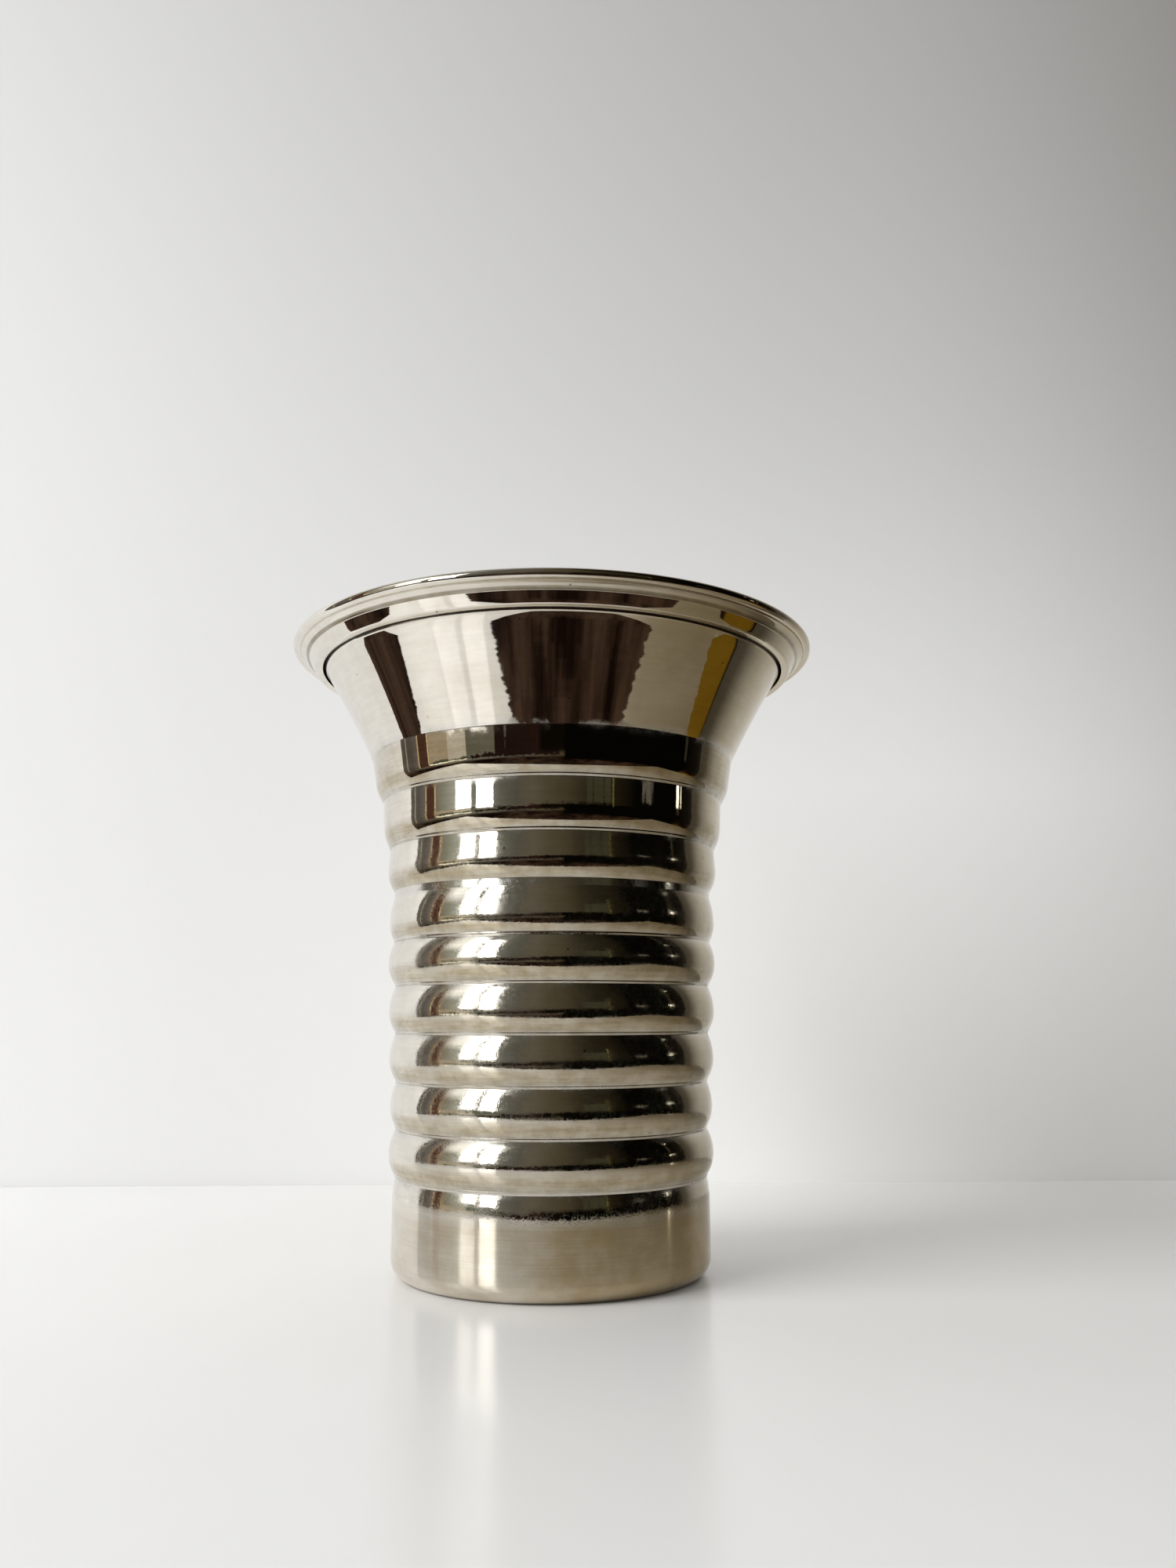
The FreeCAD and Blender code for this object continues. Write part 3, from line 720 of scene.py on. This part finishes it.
inside = {
    "tarnishAndShade": {"Bright": (0.62, 0.58, 0.51, 1), "Warm": (0.36, 0.30, 0.21, 1), "Cloudiness": 0.9},
    "ringsPerMetre": 1500.0,
    "roughness": (0.22, 0.42),
    "waterMarkRoughness": 0.55,
    "waterMarkCover": 0.7,
    "reliefDepth": 0.010 * mm,
}


def insideFinish():
    material, tree, shader = newMaterial("nickelInside")
    clouds = useGroup(tree, tarnishAndShade, inside["tarnishAndShade"])
    rings = useGroup(tree, spunRings, {"Rings per metre": inside["ringsPerMetre"]})
    waterMark = useGroup(tree, tideMarks)["Mask"]
    rough = mixValue(tree, clouds["Mask"], *inside["roughness"])
    rough = mixValue(tree, waterMark, rough, inside["waterMarkRoughness"])
    marked = product(tree, waterMark, inside["waterMarkCover"])
    colour = mixColour(tree, marked, clouds["Color"], nickel["residue"])
    bareMetal(tree, shader, colour, rough, rings["Height"], inside["reliefDepth"])
    return material


wire = {
    "bare": (0.42, 0.41, 0.40, 1),
    "rust": (0.20, 0.11, 0.06, 1),
    "rustPerMetre": 260.0,
    "rustEdges": (0.50, 0.66),
    "roughness": (0.38, 0.75),
    "grainPerMetre": 1900.0,
    "reliefDepth": 0.02 * mm,
}


def wireFinish():
    material, tree, shader = newMaterial("ironWire")
    place = objectPlace(tree)
    rusty = noiseNode(tree, place, wire["rustPerMetre"], detail=5.0, roughness=0.7)
    rusty = rangeNode(tree, rusty, *wire["rustEdges"])
    grain = noiseNode(tree, place, wire["grainPerMetre"], detail=3.0)
    colour = mixColour(tree, rusty, wire["bare"], wire["rust"])
    rough = mixValue(tree, rusty, *wire["roughness"])
    bareMetal(tree, shader, colour, rough, grain, wire["reliefDepth"])
    return material


solder = {
    "grey": (0.55, 0.54, 0.52, 1),
    "dull": (0.34, 0.33, 0.30, 1),
    "cloudsPerMetre": 150.0,
    "cloudEdges": (0.36, 0.66),
    "roughness": (0.30, 0.62),
    "ripplesPerMetre": 420.0,
    "reliefDepth": 0.08 * mm,
}


def solderFinish():
    material, tree, shader = newMaterial("softSolder")
    place = objectPlace(tree)
    cloud = noiseNode(tree, place, solder["cloudsPerMetre"], detail=5.0, roughness=0.65)
    cloud = rangeNode(tree, cloud, *solder["cloudEdges"])
    ripple = noiseNode(tree, place, solder["ripplesPerMetre"], detail=3.0, roughness=0.5)
    colour = mixColour(tree, cloud, solder["grey"], solder["dull"])
    rough = mixValue(tree, cloud, *solder["roughness"])
    bareMetal(tree, shader, colour, rough, ripple, solder["reliefDepth"])
    return material


nickelMaterial, insideMaterial, solderMaterial = nickelFinish(), insideFinish(), solderFinish()
turning = {
    "Wander": 0.05 * mm,
    "Wander per metre": 30.0,
    "Outside finish": nickelMaterial,
    "Inside finish": insideMaterial,
}


def bodyShell():
    outer, inner = wallFaces(bodyRuns, body["grooveSoftness"], body["wall"])
    outline = outer + inner
    grooves = grooveCorners()

    def creaseAt(point):
        nearest = min((point - groove).length for groove in grooves)
        return max(0.0, 1 - nearest / body["creaseReach"])

    def underAt(i):  # how far a rib's face looks down: these faces get painted shade, darker and warmer
        point, after = outline[i], outline[(i + 1) % len(outline)]
        if not grooves[0].y < point.y < grooves[-1].y:
            return 0.0
        along = (after - point).normalized()
        return min(max(along.x / body["underSlope"], 0.0), 1.0)

    def riseAt(point):  # 0 up to the last round rib, 1 from the flare on
        low, high = grooves[body["roundRibs"]].y, grooves[-1].y
        return min(max((point.y - low) / (high - low), 0.0), 1.0)

    def spinAt(point):  # the flare is marked most, and the upper ribs more than the lower ones
        return body["ribSpin"] + (1 - body["ribSpin"]) * riseAt(point) ** 2

    def paintedShadowAt(point):  # painted shadow, dark and dull, under the edge of the rim moulding
        return 1.0 if rimTop - body["shadowDrop"] < point.y < rimTop - rim["skirtTopDrop"] else 0.0

    def wornAt(point):  # fine scratches: most on the lower ribs, hardly any on the flare
        if point.y < bandTop:
            return body["wornFoot"]
        return 1 - (1 - body["wornFlare"]) * min(body["wornFade"] * riseAt(point), 1.0)

    values = {
        "crease": [creaseAt(p) for p in outline],
        "worn": [wornAt(p) for p in outline],
        "paintedShadow": [paintedShadowAt(p) for p in outline],
        "satin": [1.0 if p.y < bandTop else 0.0 for p in outline],
        "spin": [spinAt(p) for p in outline],
        "under": [underAt(i) for i in range(len(outline))],
        "inside": [0.0] * len(outer) + [1.0] * len(inner),
    }
    piece = turnPiece("bodyShell", outline, values, {"Steps round": body["stepsRound"], **turning})
    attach(piece, "root")
    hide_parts("body_shell")


def rimMoulding():
    outer, inner = wallFaces(rimRuns, rim["softness"], -rim["wall"])
    outline = (outer + inner)[::-1]
    coveTop, coveFoot = rimTop - rim["coveDrop"], rimTop - rim["skirtTopDrop"]
    coveMiddle = (coveTop + coveFoot) / 2
    # the lower half of the cove gets painted shade and painted shadow
    values = {
        "worn": [rim["worn"]] * len(outline),
        "paintedShadow": [rim["coveShadow"] if coveFoot <= p.y <= coveMiddle else 0.0 for p in outline],
        "crease": [0.0] * len(outline),
        "satin": [0.0] * len(outline),
        "spin": [rim["spin"] if p.y < coveTop else rim["rollSpin"] for p in outline],
        "under": [rim["coveShade"] if coveFoot <= p.y <= coveMiddle else 0.0 for p in outline],
        "inside": [1.0] * len(inner) + [0.0] * len(outer),
    }
    piece = turnPiece("rimMoulding", outline, values, {"Steps round": rim["stepsRound"], **turning})
    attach(piece, "root")
    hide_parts("rim_mount")


bodyShell()
rimMoulding()
nodeFinishes = {
    "floor_disc": insideMaterial,
    "rim_wire": wireFinish(),
    "rim_solder": solderMaterial,
    "floor_solder": solderMaterial,
}
for nodeName, finish in nodeFinishes.items():
    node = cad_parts[nodeName]
    node.data.materials.clear()
    node.data.materials.append(finish)
print("pieces made")

studio = {
    "tableCorners": ((0.50, 0.235), (-0.48, 0.235), (-0.48, -0.314), (0.50, -0.2215)),
    "tableCorner": 0.02,
    "tableCornerSteps": 6,
    "tableEdge": 0.004,
    "tableEdgeSteps": 4,
    "tableThickness": 0.025,
    "tableGap": 0.05 * mm,  # keeps its top clear of the foot
    "tableColour": (0.88, 0.88, 0.87, 1),
    "tableShade": (0.46, 0.41, 0.32, 1),  # mirrored in the vase: to the right, and further back
    "tableShadow": (0.20, 0.17, 0.12, 1),
    "tableShadeFrom": (0.0, 0.26),  # along X
    "tableShadowFrom": (0.02, 0.14),  # along Y
    "tableRoughness": (0.17, 0.09),  # as seen, and as mirrored
    "tableGloss": (0.14, 0.75),
    "wallDistance": 0.235,
    "wallSpan": (-0.90, 1.05),
    "wallFoot": -0.6,
    "wallTop": 2.4,
    "wallRoughness": 0.8,
    "wallColour": (0.78, 0.78, 0.78, 1),
    "wallPaintedLight": (0.98, 0.98, 0.97, 1),  # painted light, low on the left
    "wallPaintedLightFrom": ((-0.22, 0.10), (0.5, 0.1)),  # along X, along Z
    # painted shade, high up
    "wallPaintedShadeHigh": (0.60, 0.60, 0.60, 1),
    "wallPaintedShadeHighFrom": (0.3, 1.0),  # along Z
    "wallPaintedShadeAbove": (0.46, 0.455, 0.445, 1),  # painted shade, high on the right
    "wallPaintedShadeAboveFrom": ((-0.5, 0.4), (0.1, 0.9)),  # along X, along Z
    "wallShade": (0.15, 0.135, 0.11, 1),  # the right end
    "wallShadeFrom": (0.18, 0.80),  # along X
    "windowDistance": 1.3,
    "eyeHeight": 0.09,  # the panes' climbs are counted from here
    "paneTurns": (59.0, 43.9),
    "paneHalfTurn": 5.8,
    "paneClimbs": ((3.0, 48.0), (2.0, 42.0)),
    "paneRadiance": (2.1, 3.6),
    "keyTurn": 61.0,
    "keyClimb": 27.0,
    "keyDistance": 2.2,
    "keySize": (1.5, 1.6),
    "keyPower": 50.0,
    "fillColour": (1.0, 0.99, 0.97, 1),
    "fillStrength": 0.42,
    "background": (0.80, 0.80, 0.80, 1),
}


def plainObject(name, verts, faces, material):
    mesh = bpy.data.meshes.new(name)
    mesh.from_pydata(verts, [], faces)
    mesh.materials.append(material)
    made = bpy.data.objects.new(name, mesh)
    scene.collection.objects.link(made)


def tableTop():
    corner, edge, turns = studio["tableCorner"], studio["tableEdge"], studio["tableCornerSteps"]
    top = -studio["tableGap"]
    centres = [
        (x - math.copysign(corner, x), y - math.copysign(corner, y)) for x, y in studio["tableCorners"]
    ]

    def loopAt(radius, height):
        return [
            (x + radius * math.cos(a), y + radius * math.sin(a), height)
            for quarter, (x, y) in enumerate(centres)
            for a in (math.pi / 2 * (quarter + i / turns) for i in range(turns + 1))
        ]

    loops = []
    for step in range(studio["tableEdgeSteps"] + 1):
        bend = math.pi / 2 * step / studio["tableEdgeSteps"]
        loops.append(loopAt(corner - edge + edge * math.sin(bend), top - edge + edge * math.cos(bend)))
    loops.append(loopAt(corner, -studio["tableThickness"]))
    count = len(loops[0])
    faces = [tuple(range(count))]
    for ring in range(len(loops) - 1):
        a, b = ring * count, (ring + 1) * count
        faces += [(a + i, b + i, b + (i + 1) % count, a + (i + 1) % count) for i in range(count)]
    faces.append(tuple(reversed(range((len(loops) - 1) * count, len(loops) * count))))
    material, tree, shader = newMaterial("whiteLaminate")
    place = separated(tree, objectPlace(tree))
    aside = rangeNode(tree, place["X"], *studio["tableShadeFrom"], smooth=False)
    mirrored = addNode(tree, "ShaderNodeLightPath").outputs["Is Glossy Ray"]
    aside = product(tree, aside, mirrored)
    back = rangeNode(tree, place["Y"], *studio["tableShadowFrom"])
    shade = mixColour(tree, back, studio["tableShade"], studio["tableShadow"])
    tree.links.new(mixColour(tree, aside, studio["tableColour"], shade), shader.inputs["Base Color"])
    tree.links.new(mixValue(tree, mirrored, *studio["tableRoughness"]), shader.inputs["Roughness"])
    tree.links.new(mixValue(tree, mirrored, *studio["tableGloss"]), shader.inputs["Specular IOR Level"])
    plainObject("tableTop", [point for loop in loops for point in loop], faces, material)


def backWall():
    (left, right), y = studio["wallSpan"], studio["wallDistance"]
    bottom, top = studio["wallFoot"], studio["wallTop"]
    material, tree, shader = newMaterial("paintedWall")
    place = separated(tree, objectPlace(tree))

    def patch(alongX, alongZ):
        return product(tree, rangeNode(tree, place["X"], *alongX), rangeNode(tree, place["Z"], *alongZ))

    # painted light and shade: lighter low on the left, darker high up and to the right
    colour = mixColour(tree, patch(*studio["wallPaintedLightFrom"]), studio["wallColour"], studio["wallPaintedLight"])
    high = rangeNode(tree, place["Z"], *studio["wallPaintedShadeHighFrom"])
    colour = mixColour(tree, high, colour, studio["wallPaintedShadeHigh"])
    colour = mixColour(tree, patch(*studio["wallPaintedShadeAboveFrom"]), colour, studio["wallPaintedShadeAbove"])
    aside = rangeNode(tree, place["X"], *studio["wallShadeFrom"])
    tree.links.new(mixColour(tree, aside, colour, studio["wallShade"]), shader.inputs["Base Color"])
    shader.inputs["Roughness"].default_value = studio["wallRoughness"]
    back = addNode(tree, "ShaderNodeNewGeometry").outputs["Backfacing"]
    clear = addNode(tree, "ShaderNodeBsdfTransparent")
    mix = addNode(tree, "ShaderNodeMixShader", {0: back, 1: shader.outputs[0], 2: clear.outputs[0]})
    tree.links.new(mix.outputs[0], tree.nodes["Material Output"].inputs["Surface"])
    corners = [(left, y, bottom), (right, y, bottom), (right, y, top), (left, y, top)]
    plainObject("backWall", corners, [(0, 1, 2, 3)], material)


def towards(turn, climb=0.0):  # a direction from the vase: turned from the camera to the left, and up
    turn, climb = math.radians(turn), math.radians(climb)
    return Vector((-math.sin(turn) * math.cos(climb), -math.cos(turn) * math.cos(climb), math.sin(climb)))


def softLamp(name, place, facing, size, power):
    lamp = bpy.data.lights.new(name, "AREA")
    lamp.shape = "RECTANGLE"
    lamp.size, lamp.size_y = size
    lamp.energy = power
    made = bpy.data.objects.new(name, lamp)
    made.location = place
    made.rotation_mode = "QUATERNION"
    made.rotation_quaternion = facing.to_track_quat("Z", "Y")
    made.visible_camera = False
    scene.collection.objects.link(made)
    return made


def lamps():
    distance = studio["windowDistance"]
    width = 2 * distance * math.tan(math.radians(studio["paneHalfTurn"]))
    panes = zip(studio["paneTurns"], studio["paneClimbs"], studio["paneRadiance"])
    for number, (turn, climbs, radiance) in enumerate(panes):
        low, high = (distance * math.tan(math.radians(climb)) + studio["eyeHeight"] for climb in climbs)
        place = towards(turn) * distance + Vector((0, 0, (low + high) / 2))
        power = radiance * math.pi * width * (high - low)
        pane = softLamp(f"windowPane{number}", place, towards(turn), (width, high - low), power)
        pane.visible_diffuse = False
    facing = towards(studio["keyTurn"], studio["keyClimb"])
    key = softLamp("softKey", facing * studio["keyDistance"], facing, studio["keySize"], studio["keyPower"])
    key.visible_glossy = False


roomTones = (  # turn from the camera to the left in degrees, and the tone there
    (-180, (0.30, 0.30, 0.31)),
    (-102, (0.012, 0.010, 0.008)),
    (-90, (0.002, 0.002, 0.001)),
    (-56, (0.002, 0.002, 0.001)),
    (-43, (0.018, 0.014, 0.007)),
    (-31, (0.025, 0.021, 0.012)),
    (-20, (0.042, 0.037, 0.022)),
    (-9, (0.080, 0.065, 0.040)),
    (2, (0.095, 0.085, 0.055)),
    (13, (0.130, 0.115, 0.085)),
    (24, (0.110, 0.105, 0.085)),
    (34, (0.150, 0.150, 0.130)),
    (38, (0.220, 0.220, 0.190)),
    (54, (0.250, 0.250, 0.220)),
    (66, (0.450, 0.460, 0.400)),
    (76, (0.280, 0.280, 0.220)),
    (84, (0.200, 0.170, 0.130)),
    (92, (0.180, 0.160, 0.140)),
    (99, (0.110, 0.100, 0.090)),
    (103, (0.120, 0.110, 0.100)),
    (180, (0.30, 0.30, 0.31)),
)
roomThings = (  # turn from and to, climb from and to, softness, tone, raggedness
    (-88.0, -105.0, -28.0, -17.0, 1.0, (0.200, 0.120, 0.012), 1.2),
    (91.8, 84.0, -9, 26, 0.5, (0.085, 0.040, 0.028), 0),
    (92.5, 91.7, -9, 60, 0.25, (0.80, 0.62, 0.36), 0),
    (84.0, 83.2, -9, 60, 0.25, (0.85, 0.65, 0.36), 0),
    (103.6, 102.8, -9, 60, 0.25, (0.50, 0.45, 0.32), 0),
    (82.0, 66.0, 22, 52, 7.0, (1.30, 1.30, 1.25), 0),
    (83.0, 55.0, -9.5, -7.0, 0.4, (1.50, 1.45, 1.20), 1.2),
    (80.0, 34.0, -7.0, 1.0, 1.0, (0.10, 0.11, 0.07), 1.0),
    (52.0, -4.0, -9.0, -2.0, 0.8, (0.020, 0.010, 0.008), 2.0),
    (16.0, -40.0, -4.0, 1.0, 0.8, (0.030, 0.012, 0.009), 2.5),
    (8.0, -20.0, -6.0, 1.5, 1.5, (0.005, 0.004, 0.002), 0),
    (83.0, 63.0, -3.2, 1.2, 0.5, (0.46, 0.38, 0.27), 0.5),
    (68.0, 54.8, -4.8, -0.6, 0.4, (0.62, 0.57, 0.48), 0.5),
    (54.2, 36.0, -4.8, -1.0, 0.4, (0.17, 0.165, 0.13), 1.0),
    (-7.0, -90.0, -20.0, 2.5, 1.0, (0.002, 0.002, 0.001), 1.5),
    (-22.0, -38.0, 4.0, 16.0, 0.4, (0.060, 0.058, 0.035), 0),
    (-26.0, -26.4, 2.0, 17.0, 0.15, (0.004, 0.003, 0.002), 0),
    (-33.0, -33.4, 1.0, 19.0, 0.15, (0.004, 0.003, 0.002), 0),
    (-39.0, -40.0, 0.0, 22.0, 0.3, (0.16, 0.15, 0.06), 0),
    (-90.0, -91.5, 0.0, 60.0, 0.7, (0.060, 0.055, 0.040), 0),
    (-89.6, -91.6, 6.2, 8.2, 0.5, (4.0, 4.0, 3.8), 0),
    (-93.4, -94.2, 6.4, 7.6, 0.4, (2.0, 2.0, 1.8), 0),
    (-92.0, -93.5, 25.5, 26.6, 0.4, (2.5, 2.5, 2.3), 0),
    (-60.0, -69.0, 6.5, 8.3, 0.8, (0.16, 0.15, 0.13), 1.5),
)
room = {
    "raggedPerTurn": 22.0,
    "raggedReach": 6.0,  # how far, in degrees, a raggedness of 1 spreads an edge
    "gloom": ((0.008, 0.004, 0.003, 1), (0.075, 0.045, 0.030, 1)),  # low down, in clouds
    "gloomClouds": 5.0,
    "gloomEdges": (0.35, 0.68),
    "gloomClimbs": (-16.0, -9.0),
}


def roomAround():  # what reflections see behind the camera: tones round about, and things before them
    world = bpy.data.worlds.new("studioRoom")
    scene.world = world
    world.use_nodes = True
    tree = world.node_tree
    tree.nodes.clear()
    direction = addNode(tree, "ShaderNodeTexCoord").outputs["Generated"]
    part = separated(tree, direction)
    leftward = product(tree, part["X"], -1.0)
    forward = product(tree, part["Y"], -1.0)
    turn = mathNode(tree, "DEGREES", mathNode(tree, "ARCTAN2", leftward, forward))
    climb = mathNode(tree, "DEGREES", mathNode(tree, "ARCSINE", part["Z"]))
    rag = mathNode(tree, "SUBTRACT", noiseNode(tree, direction, room["raggedPerTurn"], detail=3.0), 0.5)
    ramp = (*roomTones[0][1], 1)
    for (startTurn, _), (endTurn, endTone) in zip(roomTones, roomTones[1:]):
        ramp = mixColour(tree, rangeNode(tree, turn, startTurn, endTurn, smooth=False), ramp, (*endTone, 1))
    clouds = noiseNode(tree, direction, room["gloomClouds"], detail=4.0, roughness=0.6)
    gloom = mixColour(tree, rangeNode(tree, clouds, *room["gloomEdges"]), *room["gloom"])
    tones = mixColour(tree, rangeNode(tree, climb, *room["gloomClimbs"]), gloom, ramp)
    for left, right, low, high, soft, tone, ragged in roomThings:
        height = climb
        if ragged:
            height = mathNode(tree, "MULTIPLY_ADD", rag, ragged * room["raggedReach"], climb)
        mask = rangeNode(tree, turn, right - soft, right + soft)
        edges = (
            (turn, left + soft, left - soft),
            (height, low - soft, low + soft),
            (height, high + soft, high - soft),
        )
        for value, outside, within in edges:
            mask = product(tree, mask, rangeNode(tree, value, outside, within))
        tones = mixColour(tree, mask, tones, (*tone, 1))
    path = addNode(tree, "ShaderNodeLightPath").outputs
    lights = []
    for colour, strength in (
        (tones, 1.0), (studio["fillColour"], studio["fillStrength"]), (studio["background"], 1.0)
    ):
        light = addNode(tree, "ShaderNodeBackground", {"Color": colour, "Strength": strength})
        lights.append(light.outputs[0])
    mirrored, fill, seen = lights
    shown = addNode(tree, "ShaderNodeMixShader", {0: path["Is Glossy Ray"], 1: fill, 2: mirrored}).outputs[0]
    shown = addNode(tree, "ShaderNodeMixShader", {0: path["Is Camera Ray"], 1: shown, 2: seen}).outputs[0]
    addNode(tree, "ShaderNodeOutputWorld", {0: shown})


tableTop()
backWall()
lamps()
roomAround()
print("studio made")

view = {
    "place": (0.0, -0.4554, 0.08745),
    "yaw": 1.67,
    "pitch": 10.82,
    "roll": -0.12,
    "lens": 28.12,
    "sensor": 36.0,
    "clips": (0.01, 20.0),
}


def makeCamera():
    yaw, pitch, roll = (math.radians(view[key]) for key in ("yaw", "pitch", "roll"))
    ahead = Vector((math.sin(yaw) * math.cos(pitch), math.cos(yaw) * math.cos(pitch), math.sin(pitch)))
    level = Vector((math.cos(yaw), -math.sin(yaw), 0))
    above = level.cross(ahead)
    right = level * math.cos(roll) + above * math.sin(roll)
    top = above * math.cos(roll) - level * math.sin(roll)
    data = bpy.data.cameras.new("camera")
    data.lens, data.sensor_width = view["lens"], view["sensor"]
    data.clip_start, data.clip_end = view["clips"]
    camera = bpy.data.objects.new("camera", data)
    turned = Matrix((right, top, -ahead)).transposed().to_4x4()
    turned.translation = view["place"]
    camera.matrix_world = turned
    scene.collection.objects.link(camera)
    scene.camera = camera


makeCamera()
